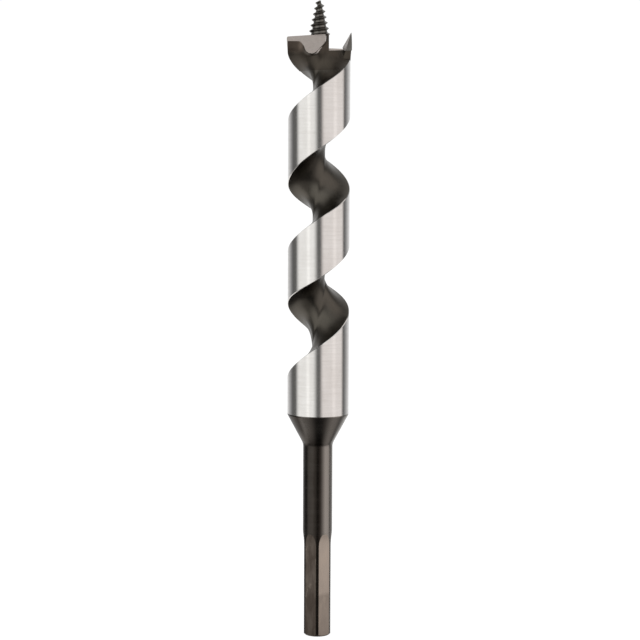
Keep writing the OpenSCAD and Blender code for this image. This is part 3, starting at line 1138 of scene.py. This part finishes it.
@dataclass(frozen=True)
class Head:
    """The cutting head with its lip and its side spur, in millimetres.

    Attributes:
        finishes: Its materials in the order of the zones.
        reach: How far its stock goes below its foot.
        spare: How far a blank or a cutter goes past what it works on.
        voxel: Size of the cells that join the milled surfaces.
        painted_rim_depth: Depth of the painted highlight rim behind the rake face.
        painted_rim_reach: How far that painted highlight goes beyond the rounded root.
        post_side: How far the post stands to the right.
        post_back: How far it stands back.
        corner_cut: Width of the small chamfer at the lip's outer corner.
        on_face: Distance within which a face belongs to a ground surface.
        square: Cosine above which a face looks squarely along a direction.
        soft_foot: Height above the head's foot at which the smoothing begins.
        soft_rise: Height over which it comes in.
        soft_weight: Share of the way that a point moves in one step.
        soft_passes: Number of smoothing steps of the whole stock.
        soft_spots: Further steps, with their number, middle and reach; levels are from the lip.
    """

    finishes: tuple[bpy.types.Material, ...]
    reach: float = 2.0
    spare: float = 1.0
    voxel: float = 0.15
    painted_rim_depth: float = 0.45
    painted_rim_reach: float = 0.5
    post_side: float = 0.35
    post_back: float = 0.8
    corner_cut: float = 0.32
    on_face: float = 0.02
    square: float = 0.9
    soft_foot: float = 0.4
    soft_rise: float = 2.0
    soft_weight: float = 0.6
    soft_passes: int = 8
    soft_spots: tuple = ((70, (-6.8, -1.0, -5.6), 3.0), (50, (7.3, -3.0, -6.8), 2.6),
                         (40, (1.5, -1.8, -6.6), 2.4))

    def above_floor(self) -> bpy.types.Object:
        """Everything above the slot's sloping floor, outside its inner wall."""
        size = 4 * SIZES.head_r
        place = move(0, 0, SIZES.lip_z - SIZES.slot_depth) @ tilt(SIZES.slot_floor_tilt)
        space = block((-size, -size, 0), (size, size, 2 * size), place)
        side = block((SIZES.slot_wall, -size, SIZES.head_z - size),
                     (SIZES.slot_wall + size, size, SIZES.point_z + 2 * size))
        combine(space, side, Cut.KEEP_COMMON)
        return space

    def spur_blank(self) -> bpy.types.Object:
        """The spur and its root, ground by two planes that meet at the tip."""
        tip_x = math.sqrt((SIZES.head_r - SIZES.spur_tip_t) ** 2 - SIZES.spur_lead ** 2)
        size = 4 * SIZES.head_r
        blank = turned([(0, SIZES.head_z), (SIZES.head_r, SIZES.head_z),
                        (SIZES.head_r, SIZES.spur_tip_z), (0, SIZES.spur_tip_z)], RIM_STEPS)
        inner = SIZES.head_r - SIZES.spur_root_t
        back = SIZES.spur_lead - SIZES.head_r
        combine(blank, block((inner, back, SIZES.head_z - self.spare),
                             (inner + SIZES.head_r, back + SIZES.head_r,
                              SIZES.spur_tip_z + self.spare)), Cut.KEEP_COMMON)
        tip = move(tip_x, SIZES.spur_lead, SIZES.spur_tip_z)
        combine(blank, block((-size, -size / 2, -size / 2), (0, size / 2, size / 2),
                             tip @ tilt(z=SIZES.spur_skew) @ tilt(y=SIZES.spur_bevel)), Cut.REMOVE)
        combine(blank, block((-size / 2, -size, -size / 2), (size / 2, 0, size / 2),
                             tip @ tilt(-SIZES.spur_relief)), Cut.REMOVE)
        return blank

    def envelope(self) -> bpy.types.Object:
        """The head's outline, which flares to its full cutting diameter."""
        flare_z = SIZES.head_z + SIZES.flare_start
        flare_top = SIZES.lip_z - SIZES.lip_thickness
        top = SIZES.lip_z + 2 * SIZES.head_r
        return turned([(0, SIZES.head_z), (SIZES.twist_r, SIZES.head_z), (SIZES.twist_r, flare_z),
                       (SIZES.head_r, flare_top), (SIZES.head_r, top), (0, top)], RIM_STEPS)

    def post(self) -> bpy.types.Object:
        """The core, which swells into a post under the screw point."""
        waist_r = SIZES.slot_wall * SIZES.post_waist_share
        waist_z = SIZES.lip_z - SIZES.slot_depth
        foot, top = SIZES.head_z - self.reach / 2, SIZES.lip_z + self.spare
        post = turned([(0, foot), (SIZES.core_r, foot), (SIZES.core_r, SIZES.head_z),
                       (waist_r, waist_z), (SIZES.slot_wall, top), (0, top)], POST_STEPS)
        post.data.transform(move(self.post_side, self.post_back, 0))
        return post

    def root(self) -> bpy.types.Object:
        """The rounded root under the lip, which tapers from its heel to its toe."""
        cloud = bmesh.new()
        for radius, across, depth in ((SIZES.heel_r, SIZES.heel_x, SIZES.heel_depth),
                                      (SIZES.toe_r, SIZES.toe_x, SIZES.toe_depth)):
            place = move(-across, SIZES.lip_root_back - SIZES.rake_offset, SIZES.lip_z - depth)
            bmesh.ops.create_icosphere(cloud, subdivisions=5, matrix=place,
                                       radius=math.hypot(radius, SIZES.lip_root_back))
        form = bmesh.new()
        for vert in cloud.verts:
            form.verts.new(vert.co)
        cloud.free()
        hull = bmesh.ops.convex_hull(form, input=form.verts[:])
        inner = [item for item in hull["geom_interior"] if isinstance(item, bmesh.types.BMVert)]
        bmesh.ops.delete(form, geom=inner, context="VERTS")
        return shaped("root", form)

    def throat(self) -> bpy.types.Object:
        """The throat ground under the lip's outer end, with a rounded inner corner."""
        outer, inner = SIZES.head_r + self.spare, SIZES.head_r - SIZES.throat_w
        corner, steps = SIZES.throat_corner_r, 16
        outline = [(-outer, 0.0)]
        for i in range(steps + 1):
            turn = math.pi / 2 * i / steps
            outline.append((-inner - corner + corner * math.sin(turn),
                            corner - corner * math.cos(turn)))
        outline += [(-inner, SIZES.head_r), (-outer, SIZES.head_r)]
        drop = SIZES.head_r * math.sin(math.radians(SIZES.lip_rise)) + SIZES.lip_thickness
        place = move(0, -SIZES.rake_offset, SIZES.lip_z - drop) @ tilt(-90.0 - SIZES.throat_slope)
        near, far = ([(x, y, z) for x, y in outline] for z in (-SIZES.head_r, SIZES.head_r))
        return prism(near, far, place)

    def soften(self, piece: bpy.types.Object, passes: int, centre: Sequence[float] | None = None,
               reach: float = 1.0) -> None:
        """Rounds the milled surfaces into each other.

        Args:
            piece: The remeshed stock.
            passes: Number of smoothing steps.
            centre: Place where the smoothing is strongest, or none for all above the stock's foot.
            reach: How far it goes from that place.
        """
        mesh = piece.data
        points = np.empty(len(mesh.vertices) * 3)
        mesh.vertices.foreach_get("co", points)
        points = points.reshape(-1, 3)
        edges = np.empty(len(mesh.edges) * 2, dtype=np.int64)
        mesh.edges.foreach_get("vertices", edges)
        first, second = edges.reshape(-1, 2).T
        ends = np.concatenate([first, second])
        others = np.concatenate([second, first])
        count = np.bincount(ends, minlength=len(points))
        if centre is None:
            rise = points[:, 2] - SIZES.head_z - self.soft_foot
            weight = np.clip(rise / self.soft_rise, 0.0, 1.0)
        else:
            weight = np.exp(-((np.linalg.norm(points - np.array(centre), axis=1) / reach) ** 4))
        weight = (self.soft_weight * weight)[:, None]
        for _ in range(passes):
            mean = np.stack([np.bincount(ends, points[others, axis], len(points)) / count
                             for axis in range(3)], axis=1)
            points += weight * (mean - points)
        mesh.vertices.foreach_set("co", points.ravel())
        mesh.update()

    def stock(self) -> bpy.types.Object:
        """Mills the head and grinds its plane faces."""
        bright, dark = self.finishes[:2]
        low, high = SIZES.head_z - self.reach, SIZES.spur_tip_z + self.spare
        flight = Flight(SIZES.head_r + self.spare, low, high, step=3.0, wall_rows=20)
        stock = flight.build("head", bright, dark)
        for extra in (self.post(), self.root(), self.spur_blank()):
            combine(stock, extra, Cut.JOIN)
        combine(stock, self.throat(), Cut.REMOVE)
        remesh = stock.modifiers.new("even", "REMESH")
        remesh.mode = "VOXEL"
        remesh.voxel_size = self.voxel
        settle(stock)
        self.soften(stock, self.soft_passes)
        for passes, (x, y, z), reach in self.soft_spots:
            self.soften(stock, passes, (x, y, SIZES.lip_z + z), reach)
        combine(stock, self.envelope(), Cut.KEEP_COMMON)
        combine(stock, lip_side(), Cut.REMOVE)
        corner_x = self.corner_cut - SIZES.head_r
        corner = move(corner_x, 0, SIZES.lip_z + corner_x * math.sin(math.radians(SIZES.lip_rise)))
        size = SIZES.head_r
        combine(stock, block((-size, -size, 0), (size, size, size), corner @ tilt(y=-45.0)),
                Cut.REMOVE)
        combine(stock, self.above_floor(), Cut.REMOVE)
        split, outer = self.split_z(), -SIZES.head_r - self.spare
        combine(stock, block((outer, outer, split - SIZES.split_step),
                             (SIZES.slot_wall, -SIZES.rake_offset, split + SIZES.head_len)),
                Cut.REMOVE)
        return stock

    def split_z(self) -> float:
        """Level at which the lip parts from the head."""
        return SIZES.lip_z - SIZES.toe_depth - SIZES.toe_r - SIZES.split_step

    @staticmethod
    def beside_root(place: Vector) -> float:
        """How far a place lies outside the rounded root, seen from the front."""
        heel = Vector((-SIZES.heel_x, SIZES.lip_z - SIZES.heel_depth))
        toe = Vector((-SIZES.toe_x, SIZES.lip_z - SIZES.toe_depth))
        spot, along = Vector((place.x, place.z)), toe - heel
        share = min(max((spot - heel).dot(along) / along.length_squared, 0.0), 1.0)
        radius = SIZES.heel_r + (SIZES.toe_r - SIZES.heel_r) * share
        return (spot - heel - along * share).length - radius

    def zone(self, middle: Vector, normal: Vector) -> Zone:
        """Zone of a face of the head, in millimetres."""
        radius = middle.to_2d().length
        outward = (middle.x * normal.x + middle.y * normal.y) / max(radius, WELD)
        above_split = middle.z > self.split_z()
        if radius > SIZES.twist_r - self.on_face and outward > self.square:
            return Zone.GROUND if middle.z < SIZES.head_z + SIZES.flare_start else Zone.QUENCHED
        behind = middle.y + SIZES.rake_offset
        if behind < self.on_face and above_split and middle.x < SIZES.slot_wall:
            return Zone.WHETTED
        # Painted highlight: a bright rim behind the rake face beside the rounded root, standing in for
        # the light its edge catches
        if behind < self.painted_rim_depth and normal.x > 0.0 and self.beside_root(middle) < self.painted_rim_reach:
            return Zone.BRIGHT_BEVEL_AND_PAINTED_RIM
        if normal.z > self.square and above_split and middle.x > SIZES.slot_wall:
            return Zone.FLOOR
        if normal.z > self.square and middle.z > SIZES.lip_z - SIZES.lip_thickness:
            return Zone.WHETTED
        return Zone.QUENCHED

    def build(self) -> None:
        """Makes the head, the lip and the spur."""
        stock = self.stock()
        lip = show("lip", stock.data.copy())
        size = 2 * SIZES.head_r
        split = SIZES.slot_wall * SIZES.post_waist_share
        level = self.split_z()
        parting = block((-size, -size, level), (-split, size, level + SIZES.head_len))
        combine(lip, parting, Cut.KEEP_COMMON, keep=True)
        combine(stock, parting, Cut.REMOVE)
        spur = self.spur_blank()
        combine(spur, self.above_floor(), Cut.KEEP_COMMON)
        dress(stock, "head_body", "cutting_head", self.finishes, self.zone)
        dress(lip, "lip_cutter", "cutting_lip", self.finishes, self.zone)
        dress(spur, "spur_cutter", "side_spur", self.finishes, self.spur_zone)

    @staticmethod
    def spur_zone(middle: Vector, normal: Vector) -> Zone:
        """Zone of a face of the spur, which is lighter towards the axis."""
        return Zone.BRIGHT_BEVEL_AND_PAINTED_RIM if normal.x < -0.5 else Zone.SPUR


@dataclass(frozen=True)
class ScrewPoint:
    """The tapered screw that pulls the bit into the wood.

    Attributes:
        dark: Its finish.
        tip_len: Length over which its tip is rounded, in millimetres.
        crest_right: Share of a pitch from the lip to the first crest on the right.
        ridge: Places and heights across one ridge, in shares of the pitch and of its depth.
        turns_below: Turns that are wound below the first crest.
        spare_turns: Turns that are wound more than its length has.
        foot_depth: How far it is wound below the lip, in millimetres.
        tip_cut: How much of its tip is cut flat, in millimetres.
        step: Angle of one step in degrees.
    """

    dark: bpy.types.Material
    tip_len: float = 0.9
    crest_right: float = 1 / 6
    ridge: tuple = ((0.0, 0.0), (0.297, 0.88), (0.326, 0.97), (0.354, 0.97), (0.383, 0.88),
                    (0.68, 0.0))
    turns_below: int = 2
    spare_turns: float = 3.5
    foot_depth: float = 1.2
    tip_cut: float = 0.02
    step: float = 7.5

    def tree(self, first_z: float) -> WoundTree:
        """Makes the rule of the thread as a geometry tree."""
        taper = (SIZES.point_crest_r - SIZES.point_tip_r) / SIZES.point_len
        wound = WoundTree("thread_rule", {
            "Pitch": SIZES.point_pitch, "First Level": first_z, "Foot Level": SIZES.lip_z,
            "Crest Radius": SIZES.point_crest_r, "Taper": taper, "Depth": SIZES.thread_depth,
            "Tip Level": SIZES.point_z, "Tip Length": self.tip_len})
        given, angle = wound.given, wound.mark("angle")
        level = given("First Level") + (angle / FULL_TURN + wound.mark("share")) * given("Pitch")
        crest = given("Crest Radius") - (level - given("Foot Level")) * given("Taper")
        near_tip = ((level - given("Tip Level")) / given("Tip Length") + 1.0).clamped()
        radius = crest - (1.0 - wound.mark("height")) * given("Depth")
        rounding = (1.0 - near_tip * near_tip).most(0.0).power(0.5)
        wound.close(radius * rounding, angle, level)
        return wound

    def build(self) -> bpy.types.Object:
        """Winds the thread on its tapered core."""
        crest_share = self.crest_right - self.ridge[-1][0] / 2 - self.turns_below
        first_z = SIZES.lip_z + SIZES.point_pitch * crest_share
        rows = [{"share": share, "height": height, "turns": 0.0, "wall": 1.0}
                for share, height in self.ridge]
        rows.append({"share": 0.0, "height": 0.0, "turns": 1.0, "wall": 1.0})
        turns = SIZES.point_len / SIZES.point_pitch + self.spare_turns
        angles = np.arange(0.0, turns * FULL_TURN, self.step)
        piece = marked_grid("thread", angles, rows)
        self.tree(first_z).wind(piece, self.dark, self.dark)
        between_levels(piece, SIZES.lip_z - self.foot_depth, SIZES.point_z - self.tip_cut)
        combine(piece, lip_side(), Cut.KEEP_COMMON)
        return dress(piece, "screw_point", "lead_screw", [self.dark], sharp=40.0)


@dataclass(frozen=True)
class Card:
    """A large soft light, or the pale backdrop, seen by the metal.

    Attributes:
        middle: Bearing of its middle in degrees, from the front towards +X.
        half: Half of its spread in degrees.
        soft: Width of its soft sides in degrees.
        low: Height of its lower edge in degrees above the horizon.
        high: Height of its upper edge.
        fade: Width of its soft upper and lower edges.
        level: Brightness.
        tint: Colour.
    """

    middle: float
    half: float
    soft: float
    low: float
    high: float
    fade: float
    level: float
    tint: tuple[float, float, float]


@dataclass(frozen=True)
class Studio:
    """Plain pale floor, soft studio light and the camera."""

    cards: tuple[Card, ...] = (
        Card(-47.5, 38.5, 24.0, -30.0, 72.0, 24.0, 0.93, (1.0, 1.0, 0.975)),
        Card(-38.0, 15.0, 30.0, -30.0, 72.0, 24.0, 1.12, (1.0, 1.0, 0.975)),
        Card(57.2, 46.0, 18.0, -30.0, 72.0, 24.0, 0.82, (1.0, 0.950, 0.920)),
        Card(62.0, 20.0, 38.0, -30.0, 72.0, 24.0, 0.94, (1.0, 0.950, 0.920)),
        Card(-125.0, 34.0, 30.0, -78.0, -22.0, 16.0, 1.0, (1.0, 0.98, 0.95)),
        Card(180.0, 48.0, 80.0, -35.0, 78.0, 20.0, 0.88, (1.0, 1.0, 1.0)),
        Card(0.0, 180.0, 10.0, -28.0, 90.0, 20.0, 0.125, (1.0, 1.0, 0.97)),
        Card(0.0, 42.0, 40.0, 26.0, 78.0, 26.0, 0.75, (1.0, 1.0, 1.0)),
        Card(-60.0, 36.0, 40.0, -90.0, -34.0, 20.0, 0.36, (1.0, 0.96, 0.92)),
        Card(82.0, 40.0, 44.0, -90.0, -34.0, 20.0, 0.36, (1.0, 0.95, 0.91)),
    )
    gap_level: float = 0.05
    backdrop: float = 1.03
    floor_half: float = 6.0
    floor_tone: float = 0.9
    floor_glow: float = 1.17
    floor_glow_share: float = 0.86
    lamp_place: tuple = (0.0, -0.10, 0.95)
    lamp_width: float = 0.6
    lamp_power: float = 0.6
    focal_px: float = 1800.0
    image_px: float = 640.0
    sensor_mm: float = 36.0
    look_down: float = 5.3
    distance: float = 0.5334
    aim_z: float = 0.0948
    roll: float = 0.0040
    shift_px: float = 1.7
    clip_start: float = 0.01

    def world(self) -> None:
        """Surrounds the bit with the cards; the camera sees plain white."""
        world = bpy.data.worlds.new("studio")
        bpy.context.scene.world = world
        world.use_nodes = True
        world.node_tree.nodes.clear()
        sketch = Sketch(world.node_tree)
        way = sketch.node("ShaderNodeTexCoord").outputs["Generated"]
        x, y, z = sketch.parts(way)
        bearing = x.calc("ARCTAN2", x, 0.0 - y) * (HALF_TURN / math.pi)
        height = z.calc("ARCSINE", z) * (HALF_TURN / math.pi)
        total = [x * 0.0 + self.gap_level for _ in range(3)]
        for card in self.cards:
            at_back = card.middle == HALF_TURN
            off = HALF_TURN - bearing.size() if at_back else (bearing - card.middle).size()
            beside = off.ramp(card.half + card.soft / 2, -card.soft)
            upward = height.ramp(card.low - card.fade / 2, card.fade)
            downward = height.ramp(card.high + card.fade / 2, -card.fade)
            glow = beside * upward * downward * card.level
            total = [channel.most(glow * tint) for channel, tint in zip(total, card.tint)]
        colour = sketch.node("ShaderNodeCombineXYZ", {0: total[0], 1: total[1], 2: total[2]})
        seen = sketch.field(sketch.node("ShaderNodeLightPath").outputs["Is Camera Ray"])
        final = sketch.blend(colour.outputs[0], rgba(*[self.backdrop] * 3), seen)
        light = sketch.node("ShaderNodeBackground", {"Color": final, "Strength": 1.0})
        sketch.node("ShaderNodeOutputWorld", {"Surface": light.outputs[0]})

    def floor(self) -> None:
        """Lays the pale floor, which keeps the bit's shadow."""
        form = bmesh.new()
        bmesh.ops.create_grid(form, x_segments=1, y_segments=1, size=self.floor_half)
        floor = shaped("floor", form)
        material = bpy.data.materials.new("pale_floor")
        material.use_nodes = True
        material.node_tree.nodes.clear()
        sketch = Sketch(material.node_tree)
        matt = sketch.node("ShaderNodeBsdfDiffuse", {"Color": rgba(*[self.floor_tone] * 3)})
        glow = sketch.node("ShaderNodeEmission", {
            "Color": rgba(1.0, 1.0, 1.0), "Strength": self.floor_glow})
        seen = sketch.field(sketch.node("ShaderNodeLightPath").outputs["Is Camera Ray"])
        mix = sketch.node("ShaderNodeMixShader", {
            0: seen * self.floor_glow_share, 1: matt.outputs[0], 2: glow.outputs[0]})
        sketch.node("ShaderNodeOutputMaterial", {"Surface": mix.outputs[0]})
        floor.data.materials.append(material)
        floor.visible_glossy = False

    def lamp(self) -> None:
        """Hangs one weak soft box above the bit, for its shadow on the floor."""
        light = bpy.data.lights.new("soft_top", "AREA")
        light.shape = "SQUARE"
        light.size = self.lamp_width
        light.energy = self.lamp_power
        holder = bpy.data.objects.new("soft_top", light)
        spot = Vector(self.lamp_place)
        facing = (Vector((0.0, 0.0, self.aim_z)) - spot).to_track_quat("-Z", "Y")
        holder.matrix_world = Matrix.Translation(spot) @ facing.to_matrix().to_4x4()
        holder.visible_glossy = False
        bpy.context.scene.collection.objects.link(holder)

    def camera(self) -> None:
        """Sets the camera where the photograph was taken from."""
        lens = bpy.data.cameras.new("camera")
        holder = bpy.data.objects.new("camera", lens)
        bpy.context.scene.collection.objects.link(holder)
        bpy.context.scene.camera = holder
        lens.sensor_width = self.sensor_mm
        lens.lens = self.focal_px / self.image_px * self.sensor_mm
        lens.clip_start = self.clip_start
        lens.shift_x = self.shift_px / self.image_px
        down = math.radians(self.look_down)
        back = Vector((0.0, -math.cos(down), math.sin(down)))
        facing = back.to_track_quat("Z", "Y").to_matrix().to_4x4()
        aim = Vector((0.0, 0.0, self.aim_z))
        holder.matrix_world = (Matrix.Translation(aim + back * self.distance) @ facing
                               @ Matrix.Rotation(self.roll, 4, "Z"))

    def build(self) -> None:
        """Makes the studio."""
        scene = bpy.context.scene
        scene.view_settings.view_transform = "Standard"
        self.world()
        self.floor()
        self.lamp()
        self.camera()


def finishes() -> dict[str, bpy.types.Material]:
    """Makes the finishes of the bit, named by where they lie."""
    steels = {
        "land": GroundSteel(),
        # Skin of the shank and cone: painted light on the right towards the front, a little on the
        # left, and more on the cone
        "shank": QuenchedSteel(
            dark=rgba(0.034, 0.028, 0.024), light=rgba(0.330, 0.305, 0.282), roughness=0.25,
            stain_share=0.06, streaks=Waves((60.0, 60.0, 700.0)), streak_share=0.05,
            cloud_share=0.06, tone_base=0.0, side_from=0.14, side_width=0.46, painted_light_right=0.95,
            painted_light_left=0.07, painted_cone_light=3.0, painted_cone_base_light=0.09),
        "flute": QuenchedSteel(
            name="milled_steel", dark=rgba(0.078, 0.072, 0.062), light=rgba(0.150, 0.134, 0.114),
            roughness=0.34, stain_share=0.05, streak_share=0.2, cloud_share=0.4),
        "head": QuenchedSteel(
            name="forged_steel", dark=rgba(0.052, 0.045, 0.037), light=rgba(0.105, 0.088, 0.072),
            stain=rgba(0.44, 0.36, 0.30), roughness=0.38, stain_share=0.08, lip_brown_share=0.85,
            streak_share=0.3, cloud_share=0.6),
        "thread": QuenchedSteel(
            name="thread_steel", dark=rgba(0.110, 0.104, 0.094), light=rgba(0.260, 0.250, 0.232),
            roughness=0.33, stain_share=0.10, streak_share=0.4, cloud_share=0.8),
        # Flats of the hexagon: painted light on the right flat, fading at the foot, with a painted tan
        # patch near its top
        "flats": QuenchedSteel(
            name="handled_steel_painted_light", dark=rgba(0.078, 0.061, 0.051), light=rgba(0.430, 0.370, 0.322),
            roughness=0.30, stain=rgba(0.50, 0.42, 0.35), stain_share=0.5, right_side_painted_light=0.10,
            streak_share=0.15, cloud_share=0.35, tone_base=0.06, side_from=-0.08, side_width=0.1,
            painted_light_right=0.92, painted_light_foot_drop=0.33, painted_patch_share=0.5),
        "floor": QuenchedSteel(
            name="slot_floor", dark=rgba(0.330, 0.260, 0.215), light=rgba(0.500, 0.405, 0.345),
            roughness=0.42, stain_share=0.1),
        # Bright whetted finish of the spur's ground bevel, also used for the painted highlight rim
        # behind the rake face
        "rim": WhettedSteel(
            name="whetted_bevel_and_painted_rim", bright=rgba(0.97, 0.93, 0.90), dull=rgba(0.85, 0.78, 0.74),
            roughness=0.38),
        "edges": WhettedSteel(),
    }
    return {place: steel.build() for place, steel in steels.items()}


def main() -> None:
    """Builds the bit from its shank to its point, then the studio."""
    logging.basicConfig(level=logging.INFO)
    steel = finishes()
    Shank(steel["shank"], steel["land"], steel["flats"]).build()
    Twist(steel["land"], steel["flute"]).build()
    places = ("land", "head", "edges", "rim", "floor", "thread")
    Head(tuple(steel[place] for place in places)).build()
    ScrewPoint(steel["thread"]).build()
    Studio().build()


if __name__ == "__main__":
    main()
